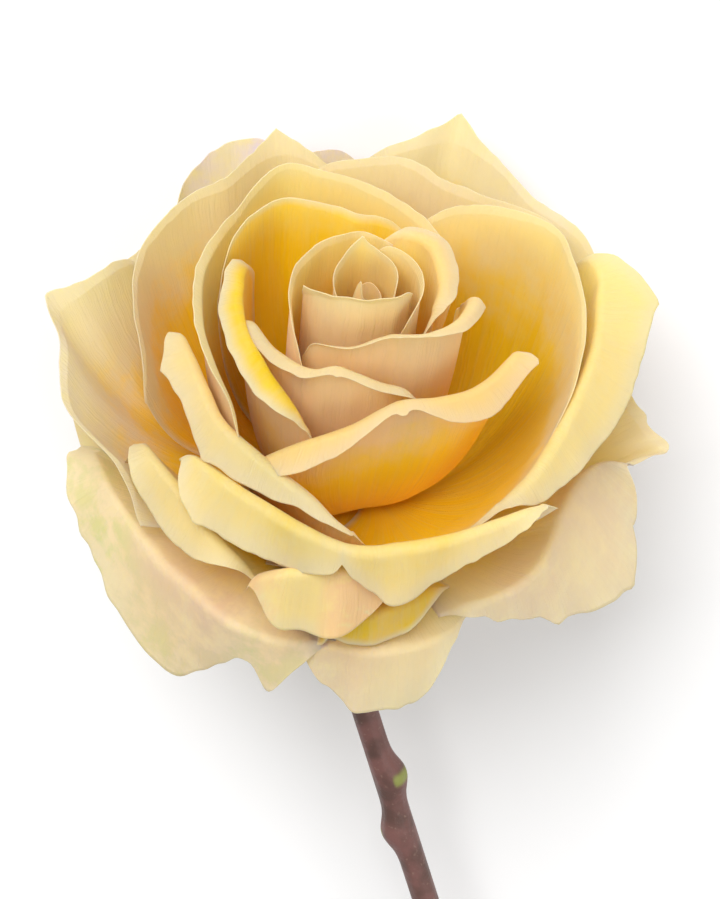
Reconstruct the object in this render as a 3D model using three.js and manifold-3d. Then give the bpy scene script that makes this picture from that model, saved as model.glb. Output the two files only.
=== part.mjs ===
// A cut rose lying on a table: a full, open bloom of separate petals on a
// green hip with five sepals, and a bare woody stem with stripped nodes.
// Millimetres, +Z up. The bloom faces +Y and is tipped up; the stem runs
// toward -Y and rests its cut end on the table.
import * as THREE from 'three';
import Module from 'manifold-3d';

const wasm = await Module();
wasm.setup();

// ---- driving dimensions -------------------------------------------------
const bloomTilt = 25;            // the bloom's axis above level, degrees
const petalThickness = 0.6;
const petalGap = 0.3;            // air left between neighbouring petals
const clawRadiusInner = 2.4;     // where the innermost petal is seated
const clawRadiusOuter = 9.6;     // where the outermost petal is seated
const clawHeightInner = 8.5;     // seat height of the innermost petal
const clawHeightOuter = 0.5;     // seat height of the outermost petal
const clawSpan = 44;             // the claw's width seen from the axis, degrees
const cupHeightInner = 66;       // height at which an inner petal stands upright
const cupHeightOuter = 92;       // and an outer one
const cupFullnessInner = 3.0;    // superellipse power of an inner petal's belly
const cupFullnessOuter = 2.1;    // and of an outer one
const foldRadius = 1.5;          // of the fold where a lip turns outward
const lipRest = 2;               // an upright lip stands this far above the body
const hipRadius = 8.4;           // at the hip's rim
const hipBelly = 7.6;            // halfway down
const hipLength = 16;
const hipClearance = 0.9;        // between the hip's top and the claws
const crownRadius = 1.3;
const crownHeight = 10;
const crownClearance = 0.4;
const sepalCount = 5;
const sepalTurn = 20;            // azimuth of the first sepal, degrees
const sepalLength = 24;
const sepalWidth = 8;
const sepalTipWidth = 0.8;
const sepalThickness = 0.9;
const sepalTrough = 0.9;         // how deep a sepal is grooved
const sepalSeat = 2.6;           // the sepals' seat below the bloom's origin
const sepalClearance = 0.7;
const sepalStart = -25;          // a sepal's first and last heading, degrees
const sepalEnd = -95;
const stemRadius = 2.6;
const stemEndRadius = 2.9;
const stemLength = 250;
const stemSwing = 22;            // sideways turn of the stem from the bloom, degrees
const neckLength = 26;           // over which the stem bends into the hip
const neckRadius = 3.1;
const stemClearance = 0.3;       // between the stem's top and the hip
const nodeSwelling = 0.9;        // extra radius at a node
const nodeBulge = 0.9;           // a node stands out to one side by this much
const nodeLength = 4;
const nodes = [[56.5, 1], [69.5, -1], [126, 1], [188, -1]];   // distance from the hip, side
const stemSides = 12;
const stemRingStep = 8;
const stemNodeStep = 2.5;
const hipSides = 28;
const sepalColumns = 4;
const sepalRows = 7;
const meshTolerance = 0.02;      // cut edges are merged this finely
const petalRows = 4;             // along the body of a petal
const lipRows = 2;               // across its lip
const spanColumns = 1.5;         // between two rim points, on average

// ---- the petals, from the heart outward ----------------------------------
// A rim point is azimuth (0 is the upper side of the lying bloom, 90 is +X),
// radius and height of the crest, and the length and turn of the lip past it.
const petals = [
  [[-90, 3.4, 50, 2, 10], [-50, 3.3, 52, 2, 10], [-20, 3.2, 56.5, 2, 0], [10, 3.2, 52.5, 2, 10],
    [110, 3, 53, 2, 0], [170, 3, 53.5, 2, 0], [215, 3.1, 51, 2, 0]],
  [[48, 7, 55, 2, 30], [80, 6, 58, 2, 10], [150, 5.2, 59.5, 2, 0], [198, 5.2, 61.5, 2, 0],
    [240, 5.2, 59.5, 2, 10], [280, 6, 58, 2, 20], [330, 7.3, 55, 2, 30]],
  [[-95, 11, 50, 2, 10], [-64, 11.5, 57.5, 2, 30], [-20, 9, 59.5, 2, 25], [20, 8.8, 60, 2, 25],
    [60, 8.8, 59, 2, 20], [95, 8.8, 54, 2, 10]],
  [[175, 6.9, 57, 2, 0], [152, 7.2, 60, 2, 10], [122, 9.2, 59, 2, 10], [90, 10.7, 58, 2, 20],
    [60, 11.2, 56, 2, 20], [38, 12, 53, 2, 20]],
  [[-28, 18, 46, 2, 20], [-51, 16, 54, 2, 20], [-71, 14.5, 57, 2, 20], [-96, 12.5, 58.5, 2, 20],
    [-128, 10.5, 59.5, 2, 10], [-170, 9.5, 60, 2, 10], [-205, 10, 58, 2, 10]],
  [[172, 12.5, 55, 2, 20], [157, 14, 58.5, 4, 80], [135, 15.5, 59, 6, 120], [113, 15, 58, 6, 120],
    [90, 14.8, 56, 4, 110], [67, 13.7, 52, 2, 40], [46, 13.2, 44, 2, 10]],
  [[-45, 14, 45, 2, 20], [-32, 14.3, 51, 2, 40], [-2, 14.3, 53, 3, 60], [17, 13.9, 55, 3, 60],
    [30, 14.3, 56, 3, 60], [53, 17, 55, 3, 90], [74, 19, 54.5, 4, 130], [95, 20.5, 54, 4, 150],
    [112, 19, 46, 2, 30]],
  [[-82, 22, 42, 2, 20], [-70, 21.7, 50, 3, 100], [-45, 20.2, 49, 4, 110], [-24, 19.6, 49.5, 4, 110],
    [-9, 18.8, 51.5, 4, 110], [10, 19, 49.5, 4, 110], [30, 20.2, 46.5, 4, 100], [50, 20.8, 37, 2, 20]],
  [[-45, 28.5, 23, 2, 30], [-30, 29, 33, 6, 110], [-17, 27, 38.5, 8, 130], [1, 24.5, 42.5, 6, 130],
    [23, 23, 47, 3, 100], [43, 24, 46, 7, 130], [60, 26, 45, 8, 130], [78, 28, 44.5, 6, 120],
    [87, 30, 45, 3, 90], [98, 29, 36, 2, 30]],
  [[-116, 23.5, 46, 2, 10], [-104, 23.7, 52, 3, 40], [-86, 23.5, 52.5, 5, 100],
    [-56, 24, 50.5, 6, 110], [-37, 24, 46.5, 6, 110], [-21, 24.3, 41, 4, 80], [-12, 24.3, 34, 2, 20]],
  [[-94, 27, 45, 2, 0], [-106, 26.8, 54, 2, 0], [-135, 26, 57, 2, 0], [-148, 22.5, 57.5, 2, 10],
    [-170, 19, 56, 2, 20], [-190, 20.5, 54, 2, 20], [-207, 21.5, 47, 2, 20]],
  [[-36, 31, 33, 2, 20], [-44, 31, 42, 2, 30], [-59, 30.7, 47, 3, 40], [-88, 30.7, 51, 3, 40],
    [-123, 31.2, 54, 2, 20], [-147, 34.2, 57, 2, 10], [-163, 32.2, 55, 2, 20],
    [-190, 27.7, 53, 2, 20], [-210, 25.7, 50, 2, 20], [-222, 25.7, 43, 2, 10]],
  [[168, 27, 43, 2, 10], [158, 30, 50, 2, 20], [147, 36.5, 51.5, 2, 20], [129, 43.5, 51.5, 2, 20],
    [116, 43, 50.5, 2, 20], [102, 42.5, 47, 2, 20], [88, 41.5, 42, 2, 10], [72, 39.6, 34.5, 2, 0],
    [55, 38, 26, 2, 0], [30, 36, 19, 2, 0], [8, 33, 14, 2, 0], [-12, 31.5, 11, 2, 0],
    [-30, 31, 7, 2, 0]],
  [[-87, 34.5, 36, 2, 30], [-79, 34, 44, 4, 80], [-70, 32.5, 43, 6, 110], [-58, 32, 41, 7, 125],
    [-47, 32, 38, 8, 130], [-30, 31, 35, 8, 130], [-11, 32.5, 32, 5, 120], [3, 37, 29, 3, 80],
    [10, 35.5, 23, 2, 30]],
  [[128, 48.5, 39, 2, 20], [122, 50, 46, 3, 40], [115, 49.5, 46, 7, 75], [109, 47.5, 44.5, 11, 92],
    [93, 44, 41.5, 12, 110], [82, 42, 38.5, 12, 120], [71, 41, 35.5, 10, 120], [58, 40.5, 32, 7, 115],
    [48, 40, 29.5, 3, 60], [38, 39.5, 26, 2, 20], [28, 38, 19, 2, 20]],
  [[-53, 37.5, 24, 2, 30], [-49, 38, 31, 4, 90], [-40, 37, 31.5, 10, 120],
    [-22, 37, 30.5, 11.5, 135], [-9, 38.5, 29.5, 11, 140], [3, 40.5, 28.5, 8, 140],
    [11, 41, 28.5, 11, 145], [17, 41, 29, 14, 145], [30, 42, 30, 9, 140], [43, 43.5, 31, 6.5, 125],
    [53, 46, 31.5, 3, 80], [63, 45.5, 25, 2, 20]],
  [[204, 38, 42, 2, 10], [197, 39, 50, 2, 20], [186, 40, 51.5, 2, 20], [173, 42, 51.5, 2, 20],
    [162, 40.5, 50, 2, 20], [149, 41.5, 49.5, 2, 20], [133, 47, 47.5, 2, 20], [125, 47.5, 40, 2, 10]],
  [[-76, 39.5, 28, 2, 20], [-84, 40.5, 37, 2, 20], [-104, 44.7, 43.5, 2, 20],
    [-128, 45.7, 46.5, 2, 20], [-140, 45, 47, 2, 20], [-156, 49.5, 47.5, 2, 20],
    [-166, 45.5, 46, 2, 20], [-176, 45, 38, 2, 10]],
  [[192, 45, 36, 2, 20], [184, 48, 44, 2, 20], [173, 52.5, 47.5, 2, 20], [166, 57, 47.5, 2, 10],
    [157, 55.5, 47, 2, 20], [144, 51.5, 45.5, 2, 20], [130, 53, 44, 2, 20], [120, 54, 35, 2, 10]],
  [[-53, 45, 13, 2, 20], [-62, 47, 23, 2, 20], [-72, 54.5, 31, 2, 20], [-84, 55, 35.5, 2, 20],
    [-92, 57, 38.5, 2, 10], [-98, 53, 40.5, 2, 20], [-110, 49.5, 39, 2, 20], [-120, 49, 31, 2, 10]],
  [[-70, 43.5, 17, 2, 20], [-65, 42, 25, 4, 60], [-55, 41, 26, 8, 110], [-44, 40, 24, 10, 120],
    [-36, 40.5, 21, 8, 120], [-26, 40, 17, 4, 70], [-16, 39.5, 11, 2, 30]],
  [[-20, 43, 14, 2, 30], [-18, 43, 18, 7, 100], [-12, 42.5, 21, 13, 125], [-5, 41, 22, 15, 130],
    [4, 39.5, 22, 15, 130], [11, 39, 21, 12, 125], [18, 38.5, 18, 6, 110], [23, 38, 14, 2, 30]],
  [[123, 55, 24, 2, 10], [108, 54, 23, 2, 20], [97, 58, 21, 2, 20], [94, 61.5, 19, 2, 20],
    [91, 56.5, 18.5, 2, 30], [89, 51, 19, 4, 60], [87, 47.5, 18.5, 14, 90], [82, 45, 17.5, 20, 95],
    [75, 44, 15.5, 22, 95], [68, 44, 12.5, 19, 95], [60, 44.5, 10.5, 13, 95], [50, 43.5, 9, 8, 95],
    [42, 40, 6, 5, 80], [34, 37, 3, 3, 40]],
  [[-1, 40.5, 1, 2, 30], [2, 40, 5, 4, 80], [9, 39, 8.5, 8, 110], [19, 38, 10, 9, 110],
    [30, 36.5, 10, 6, 100], [40, 35, 7, 2, 30]],
  [[-126, 47, 26, 2, 0], [-132, 52, 35, 2, 0], [-140, 58, 38, 2, 0], [-150, 60, 40.5, 2, 0],
    [-158, 56, 42, 2, 0], [-170, 52, 32, 2, 0]],
  [[212, 47, 26, 2, 0], [200, 51.5, 40, 2, 0], [190, 52.5, 43, 2, 0], [181, 54, 35, 2, 0],
    [172, 54, 25, 2, 0]],
  [[166, 56, 18.5, 2, 0], [150, 64, 20.5, 2, 0], [132, 61.5, 26, 2, 0], [116, 59, 20, 2, 0],
    [104, 56, 12, 2, 0]],
  [[-84, 50, 8, 2, 0], [-96, 55, 18, 2, 0], [-115, 57, 23, 2, 0], [-135, 59, 23, 2, 0],
    [-152, 60.5, 21, 2, 0], [-166, 56, 14, 2, 0]],
  [[-88, 49, 6, 2, 10], [-78, 48.5, 13, 6, 40], [-68, 46, 11, 10, 80], [-57, 43.5, 8.5, 15, 92],
    [-47, 42, 6, 22, 95], [-39, 40.5, 4, 25, 95], [-32, 40, 2, 19, 92], [-25, 40, 0.5, 12, 88],
    [-19, 40, -1, 9, 85], [-12, 40, -2, 14, 85], [-5, 39.5, -4, 9, 75], [4, 38, -6, 2, 30]],
  [[-14, 36, -5, 2, 20], [-4, 38, -4, 7, 70], [4, 39, -4, 12, 80], [11, 40, -4, 15, 85],
    [20, 40, -4, 16, 85], [29, 40, -4, 13, 80], [37, 39.5, -3, 5, 60], [43, 38, -2, 2, 20]],
];

// ---- small helpers --------------------------------------------------------
const rad = (degrees) => degrees * Math.PI / 180;
const mix = (a, b, t) => a + (b - a) * t;
const clamp01 = (t) => Math.min(1, Math.max(0, t));

// Catmull-Rom value through a list of rim points, by place u from 0 to 1.
function alongRim(rim, u, entry) {
  const place = clamp01(u) * (rim.length - 1);
  const i = Math.min(Math.floor(place), rim.length - 2);
  const t = place - i;
  const at = (k) => {
    if (k < 0) return 2 * rim[0][entry] - rim[1][entry];
    if (k >= rim.length) return 2 * rim[rim.length - 1][entry] - rim[rim.length - 2][entry];
    return rim[k][entry];
  };
  const [a, b, c, d] = [at(i - 1), at(i), at(i + 1), at(i + 2)];
  return 0.5 * (2 * b + (c - a) * t + (2 * a - 5 * b + 4 * c - d) * t * t
    + (3 * b - a - 3 * c + d) * t * t * t);
}

// A rib of a cupped petal: part of a superellipse from the seat to the crest.
function cupRib(seat, crest, fullness, cupHeight) {
  const rise = Math.max((crest[1] - seat[1]) / (cupHeight - seat[1]), 0.001);
  const end = Math.acos(Math.pow(1 - Math.min(rise, 0.98), fullness / 2));
  const width = (crest[0] - seat[0]) / Math.pow(Math.sin(end), 2 / fullness);
  return (t) => {
    const turn = end * Math.pow(t, fullness / 2);
    return [
      seat[0] + width * Math.pow(Math.sin(turn), 2 / fullness),
      seat[1] + (cupHeight - seat[1]) * (1 - Math.pow(Math.cos(turn), 2 / fullness)),
    ];
  };
}

// The lip past the crest: a fold of small radius, then straight on.
function lipPoint(heading, lip, roll, run) {
  const turn = rad(Math.max(roll, 1));
  const fold = Math.min(lip * 0.7, Math.max(turn * foldRadius, 0.5));
  const bend = turn / fold;
  const arc = Math.min(run, fold);
  const straight = run - arc;
  const end = heading - bend * arc;
  return [
    (Math.sin(heading) - Math.sin(end)) / bend + Math.cos(end) * straight,
    (Math.cos(end) - Math.cos(heading)) / bend + Math.sin(end) * straight,
  ];
}

// A point of a petal, in the bloom's own frame: x to azimuth 0, z up the axis.
function petalPoint(rim, layer, u, v) {
  const seat = [mix(clawRadiusInner, clawRadiusOuter, layer), mix(clawHeightInner, clawHeightOuter, layer)];
  const [azimuth, radius, height, lip, roll] = [0, 1, 2, 3, 4].map((k) => alongRim(rim, u, k));
  const fullness = mix(cupFullnessInner, cupFullnessOuter, layer);
  const cupHeight = mix(cupHeightInner, cupHeightOuter, layer);
  const rough = cupRib(seat, [radius, height], fullness, cupHeight);
  const [before, after] = [rough(0.97), rough(1)];
  const heading = Math.atan2(after[1] - before[1], after[0] - before[0]);
  const turn = rad(Math.max(roll, 1));
  const fold = Math.min(lip * 0.7, Math.max(turn * foldRadius, 0.5));
  const toTop = heading < turn ? fold * heading / turn : Math.min(lip, Math.max(fold, lipRest));
  const top = lipPoint(heading, lip, roll, toTop);
  const rib = cupRib(seat, [radius - top[0], height - top[1]], fullness, cupHeight);
  const body = clamp01(v);
  let [r, h] = rib(body);
  if (v > 1) {
    const past = lipPoint(heading, lip, roll, (v - 1) * lip);
    r += past[0];
    h += past[1];
  }
  const middle = (rim[0][0] + rim[rim.length - 1][0]) / 2;
  const side = rim[0][0] > rim[rim.length - 1][0] ? -1 : 1;
  const seatAzimuth = middle + side * (u - 0.5) * clawSpan;
  const a = rad(mix(seatAzimuth, azimuth, 1 - (1 - body) ** 2));
  return new THREE.Vector3(r * Math.cos(a), r * Math.sin(a), h);
}

// One closed shell: a grid of points offset to both sides and joined round the edge.
function shell(pointAt, columns, rows, thickness) {
  const positions = [];
  const index = [];
  const step = 0.004;
  for (const side of [-0.5, 0.5]) {
    for (let j = 0; j < rows.length; j++) {
      for (let i = 0; i <= columns; i++) {
        const u = i / columns;
        const v = rows[j];
        const p = pointAt(u, v);
        const across = pointAt(Math.min(u + step, 1), v).sub(pointAt(Math.max(u - step, 0), v));
        const along = pointAt(u, v + (j === rows.length - 1 ? 0 : step));
        along.sub(pointAt(u, v - (j === 0 ? 0 : step)));
        const normal = across.cross(along).normalize();
        p.addScaledVector(normal, side * thickness);
        positions.push(p.x, p.y, p.z);
      }
    }
  }
  const wide = columns + 1;
  const layerSize = wide * rows.length;
  const quad = (a, b, c, d) => index.push(a, b, c, a, c, d);
  for (let j = 0; j < rows.length - 1; j++) {
    for (let i = 0; i < columns; i++) {
      const a = j * wide + i;
      quad(a, a + wide, a + wide + 1, a + 1);
      quad(layerSize + a, layerSize + a + 1, layerSize + a + wide + 1, layerSize + a + wide);
    }
  }
  for (let i = 0; i < columns; i++) {
    const top = (rows.length - 1) * wide + i;
    quad(i, i + 1, layerSize + i + 1, layerSize + i);
    quad(top, layerSize + top, layerSize + top + 1, top + 1);
  }
  for (let j = 0; j < rows.length - 1; j++) {
    const a = j * wide;
    const b = j * wide + columns;
    quad(a, layerSize + a, layerSize + a + wide, a + wide);
    quad(b, b + wide, layerSize + b + wide, layerSize + b);
  }
  return { positions, index };
}

function toSolid({ positions, index }) {
  const mesh = new wasm.Mesh({
    numProp: 3,
    vertProperties: new Float32Array(positions),
    triVerts: new Uint32Array(index),
  });
  mesh.merge();
  const solid = new wasm.Manifold(mesh);
  return solid;
}

function toGeometry(solid) {
  const mesh = solid.getMesh();
  const geometry = new THREE.BufferGeometry();
  geometry.setAttribute('position', new THREE.BufferAttribute(new Float32Array(mesh.vertProperties), 3));
  geometry.setIndex(new THREE.BufferAttribute(new Uint32Array(mesh.triVerts), 1));
  geometry.computeVertexNormals();
  return geometry;
}

function petalShell(rim, layer, thickness) {
  const forward = rim[rim.length - 1][0] > rim[0][0];
  const rows = [];
  for (let j = 0; j < petalRows; j++) rows.push(j / petalRows);
  for (let j = 0; j <= lipRows; j++) rows.push(1 + j / lipRows);
  const pointAt = (u, v) => petalPoint(rim, layer, forward ? u : 1 - u, v);
  return shell(pointAt, Math.round((rim.length - 1) * spanColumns), rows, thickness);
}

// A closed solid of rings of points, each ring running the same way round.
function rings(list) {
  const sides = list[0].length;
  const positions = list.flat().flatMap((p) => [p.x, p.y, p.z]);
  const index = [];
  for (let j = 0; j < list.length - 1; j++) {
    for (let i = 0; i < sides; i++) {
      const a = j * sides + i;
      const b = j * sides + (i + 1) % sides;
      index.push(a, b, b + sides, a, b + sides, a + sides);
    }
  }
  for (const [ring, flip] of [[0, true], [list.length - 1, false]]) {
    const centre = list[ring].reduce((sum, p) => sum.add(p), new THREE.Vector3()).divideScalar(sides);
    positions.push(centre.x, centre.y, centre.z);
    const c = positions.length / 3 - 1;
    for (let i = 0; i < sides; i++) {
      const a = ring * sides + i;
      const b = ring * sides + (i + 1) % sides;
      index.push(...(flip ? [c, b, a] : [c, a, b]));
    }
  }
  return toSolid({ positions, index });
}

// A body of revolution about the bloom's axis; profile from the bottom up.
function turned(profile, sides) {
  return rings(profile.map(([r, h]) => Array.from({ length: sides }, (_, i) => {
    const a = 2 * Math.PI * i / sides;
    return new THREE.Vector3(r * Math.cos(a), r * Math.sin(a), h);
  })));
}

function hip() {
  const slope = (clawHeightInner - clawHeightOuter) / (clawRadiusOuter - clawRadiusInner);
  const topAt = (r) => clawHeightInner - slope * (r - clawRadiusInner) - hipClearance * Math.hypot(1, slope);
  return turned([
    [neckRadius, -hipLength],
    [mix(neckRadius, hipBelly, 0.55), -hipLength * 0.8],
    [hipBelly, -hipLength * 0.45],
    [mix(hipBelly, hipRadius, 0.7), -hipLength * 0.2],
    [hipRadius, topAt(hipRadius) - 0.9],
    [hipRadius - 0.4, topAt(hipRadius - 0.4)],
    [crownRadius, topAt(crownRadius)],
  ], hipSides);
}

function crown() {
  const slope = (clawHeightInner - clawHeightOuter) / (clawRadiusOuter - clawRadiusInner);
  const seat = clawHeightInner - slope * (crownRadius - clawRadiusInner)
    - hipClearance * Math.hypot(1, slope) + crownClearance;
  return turned([
    [crownRadius * 0.8, seat],
    [crownRadius, seat + crownHeight * 0.6],
    [crownRadius * 1.1, seat + crownHeight * 0.85],
    [crownRadius * 0.5, seat + crownHeight],
  ], 12);
}

function sepal(azimuth) {
  const bend = rad(sepalStart - sepalEnd) / sepalLength;
  const pointAt = (u, v) => {
    const heading = rad(sepalStart) - bend * v * sepalLength;
    const r = hipRadius + sepalClearance + (Math.sin(rad(sepalStart)) - Math.sin(heading)) / bend;
    const h = -sepalSeat + (Math.cos(heading) - Math.cos(rad(sepalStart))) / bend;
    const width = mix(sepalTipWidth, sepalWidth, Math.sin(Math.PI * (0.28 + 0.72 * v)) ** 0.8);
    const across = (u - 0.5) * 2;
    const lift = sepalTrough * across * across * Math.sin(Math.PI * v);
    const radial = r + lift * Math.sin(-heading);
    const up = h + lift * Math.cos(heading);
    const a = rad(azimuth);
    const side = across * width / 2;
    return new THREE.Vector3(
      radial * Math.cos(a) - side * Math.sin(a), radial * Math.sin(a) + side * Math.cos(a), up);
  };
  const rows = Array.from({ length: sepalRows + 1 }, (_, j) => j / sepalRows);
  return toSolid(shell(pointAt, sepalColumns, rows, sepalThickness));
}

// ---- build ----------------------------------------------------------------
const group = new THREE.Group();
const bloom = new THREE.Matrix4().makeBasis(
  new THREE.Vector3(0, -Math.sin(rad(bloomTilt)), Math.cos(rad(bloomTilt))),
  new THREE.Vector3(1, 0, 0),
  new THREE.Vector3(0, Math.cos(rad(bloomTilt)), Math.sin(rad(bloomTilt))));
const colours = { petal: '#edc57a', hip: '#7d8f4a', sepal: '#748a45', stem: '#76504c', crown: '#c9a13c' };

function add(name, solid, colour) {
  const material = new THREE.MeshStandardMaterial({ color: colour, roughness: 0.6, metalness: 0 });
  const mesh = new THREE.Mesh(toGeometry(solid), material);
  mesh.name = name;
  group.add(mesh);
}

// A petal gives way to the petals inside it, with the air gap all round.
const finished = [];
petals.forEach((petal, i) => {
  const layer = i / (petals.length - 1);
  let solid = toSolid(petalShell(petal, layer, petalThickness));
  for (const [own, swollen] of finished) {
    if (solid.intersect(swollen).volume() > 0) solid = solid.subtract(swollen);
    if (solid.intersect(own).volume() <= 0) continue;
    for (const way of [[1, 0, 0], [-1, 0, 0], [0, 1, 0], [0, -1, 0], [0, 0, 1], [0, 0, -1]]) {
      solid = solid.subtract(own.translate(way.map((k) => k * petalGap)));
    }
    solid = solid.subtract(own);
  }
  const largest = solid.simplify(meshTolerance).decompose().sort((a, b) => b.volume() - a.volume())[0];
  add(`petal_${String(i + 1).padStart(2, '0')}`, largest, colours.petal);
  finished.push([largest, toSolid(petalShell(petal, layer, petalThickness + 2 * petalGap))]);
});
add('hip', hip(), colours.hip);
add('crown', crown(), colours.crown);
for (let i = 0; i < sepalCount; i++) {
  add(`sepal_${i + 1}`, sepal(sepalTurn + 360 * i / sepalCount), colours.sepal);
}
group.children.forEach((mesh) => mesh.geometry.applyMatrix4(bloom));

// The stem leaves the hip along the bloom's axis, bends, and falls just far
// enough to rest its cut end on the table that the petals rest on.
function stemPath(drop) {
  const axis = new THREE.Vector3(0, 0, 1).applyMatrix4(bloom);
  const run = new THREE.Vector3(
    Math.sin(rad(stemSwing)) * Math.cos(drop), -Math.cos(rad(stemSwing)) * Math.cos(drop), -Math.sin(drop));
  const start = axis.clone().multiplyScalar(-hipLength - stemClearance);
  const corner = start.clone().addScaledVector(axis, -neckLength / 2);
  const end = corner.clone().addScaledVector(run, neckLength / 2);
  return (s) => {
    if (s >= neckLength) return end.clone().addScaledVector(run, s - neckLength);
    const t = s / neckLength;
    return start.clone().multiplyScalar((1 - t) ** 2).addScaledVector(corner, 2 * t * (1 - t))
      .addScaledVector(end, t * t);
  };
}

const table = new THREE.Box3().setFromObject(group).min.z;
let drop = 0;
for (let k = 0; k < 4; k++) {
  const path = stemPath(drop);
  const fall = path(neckLength).z - stemEndRadius - table;
  drop = Math.asin(fall / (stemLength - neckLength));
}

function stem() {
  const path = stemPath(drop);
  const places = [];
  for (let s = 0; s < stemLength;) {
    places.push(s);
    const near = nodes.some(([place]) => Math.abs(s - place) < 1.6 * nodeLength);
    s += near ? stemNodeStep : stemRingStep;
  }
  places.push(stemLength);
  return rings(places.map((s) => {
    const heading = path(s + 0.5).sub(path(s - 0.5)).normalize();
    const side = new THREE.Vector3(0, 0, 1).cross(heading).normalize();
    const up = heading.clone().cross(side);
    const centre = path(s);
    const neck = (neckRadius - stemRadius) * Math.exp(-s / 8);
    let radius = mix(stemRadius, stemEndRadius, s / stemLength) + neck;
    for (const [place, hand] of nodes) {
      const swell = Math.exp(-(((s - place) / nodeLength) ** 2));
      radius += nodeSwelling * swell;
      centre.addScaledVector(side, hand * nodeBulge * swell);
    }
    return Array.from({ length: stemSides }, (_, i) => {
      const a = 2 * Math.PI * i / stemSides;
      return centre.clone().addScaledVector(side, radius * Math.cos(a)).addScaledVector(up, radius * Math.sin(a));
    });
  }));
}
add('stem', stem(), colours.stem);

// Set down: the bounding box's bottom face is centred on the origin.
const box = new THREE.Box3().setFromObject(group);
const middle = box.getCenter(new THREE.Vector3());
group.children.forEach((mesh) => mesh.geometry.translate(-middle.x, -middle.y, -box.min.z));

export default group;
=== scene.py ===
"""A cut rose lying on a pale table, seen from above the open bloom.

Every petal is a fan of ribs from the hip to its crest, with a lip that rolls
outward past it. The bloom has its own frame, in millimetres: azimuth 0 is the
upper side of the lying bloom, azimuth 90 is +X, and height runs up its axis.
"""
import math

import bpy
import numpy as np
from mathutils import Matrix, Vector


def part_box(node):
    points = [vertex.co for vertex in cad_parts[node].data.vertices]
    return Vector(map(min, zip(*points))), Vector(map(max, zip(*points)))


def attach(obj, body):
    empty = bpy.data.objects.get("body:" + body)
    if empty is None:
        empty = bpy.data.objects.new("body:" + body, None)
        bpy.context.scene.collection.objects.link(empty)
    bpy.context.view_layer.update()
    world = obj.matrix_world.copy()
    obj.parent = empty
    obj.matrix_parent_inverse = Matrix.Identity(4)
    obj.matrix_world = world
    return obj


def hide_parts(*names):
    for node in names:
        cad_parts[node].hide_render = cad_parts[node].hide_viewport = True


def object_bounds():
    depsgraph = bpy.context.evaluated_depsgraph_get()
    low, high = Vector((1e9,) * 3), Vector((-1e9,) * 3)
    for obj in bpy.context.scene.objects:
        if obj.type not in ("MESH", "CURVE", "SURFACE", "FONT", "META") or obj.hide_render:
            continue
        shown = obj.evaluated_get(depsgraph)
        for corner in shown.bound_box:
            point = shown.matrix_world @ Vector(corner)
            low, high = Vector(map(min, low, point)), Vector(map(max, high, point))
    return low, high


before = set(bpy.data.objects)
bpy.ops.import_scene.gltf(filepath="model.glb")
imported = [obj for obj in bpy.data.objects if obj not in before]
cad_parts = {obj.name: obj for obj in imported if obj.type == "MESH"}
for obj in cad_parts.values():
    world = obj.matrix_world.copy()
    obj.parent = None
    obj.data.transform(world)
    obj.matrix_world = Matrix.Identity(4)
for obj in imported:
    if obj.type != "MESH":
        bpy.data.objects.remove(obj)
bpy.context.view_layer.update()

# ---- sizes, in millimetres and degrees, as in the frame --------------------
MM = 0.001
BLOOM_TILT = 25

# Petals, from the innermost to the outermost: where the claw sits, its span, and the cup it rises in.
CLAW_RADIUS_INNER, CLAW_RADIUS_OUTER = 2.4, 9.6
CLAW_HEIGHT_INNER, CLAW_HEIGHT_OUTER = 8.5, 0.5
CLAW_SPAN = 44
CUP_HEIGHT_INNER, CUP_HEIGHT_OUTER = 66, 92
CUP_FULLNESS_INNER, CUP_FULLNESS_OUTER = 3.0, 2.1
FOLD_RADIUS = 1.5
LIP_REST = 2
THICKNESS_CLAW, THICKNESS_MARGIN = 0.5, 0.16

# Hip, crown, sepals and stem. A node is its distance along the stem and the side it bulges to.
HIP_RADIUS, HIP_BELLY, HIP_LENGTH, HIP_CLEARANCE = 8.4, 7.6, 16, 0.9
CROWN_RADIUS = 1.3
SEPAL_COUNT, SEPAL_TURN = 5, 20
SEPAL_LENGTH, SEPAL_WIDTH, SEPAL_TIP, SEPAL_TROUGH = 24, 8, 0.8, 0.9
SEPAL_SEAT, SEPAL_CLEARANCE = 2.6, 0.7
SEPAL_START, SEPAL_END = -25, -95
STEM_RADIUS, STEM_END_RADIUS, STEM_LENGTH, STEM_SWING = 2.6, 2.9, 250, 22
NECK_LENGTH, NECK_RADIUS, STEM_CLEARANCE = 26, 3.1, 0.3
NODE_SWELLING, NODE_BULGE, NODE_LENGTH = 0.9, 0.9, 4
NODES = [(56.5, 1), (69.5, -1), (126, 1), (188, -1)]

# How fine a petal's sheet is, along its ribs and along its rim.
BODY_ROWS, LIP_ROWS = 44, 26
COLUMNS_PER_MM, FEWEST_COLUMNS, MOST_COLUMNS = 1.4, 80, 230

# Petal margins: the lip narrows over LIP_TAPER toward the rim's ends, and waves are spaced along the rim.
LIP_TAPER, LIP_AT_ENDS, LEAST_LIP = 13, 0.3, 0.8
RAGGED_SPACING, RAGGED_FADE = 3, 5
ROLL_SPACING, ROLL_SWING = 14, 0.07
RUFFLE_SPACING, RUFFLE_DEPTH = 9, 5
WARP_WAVES, WARP = 4, 0.25
BLUSH_WAVES = 5
UV_UNIT = 100
SEEDS = {"ragged": 100, "ruffle": 200, "warp": 300, "blush": 400, "teeth": 500, "roll": 1100}

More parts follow.
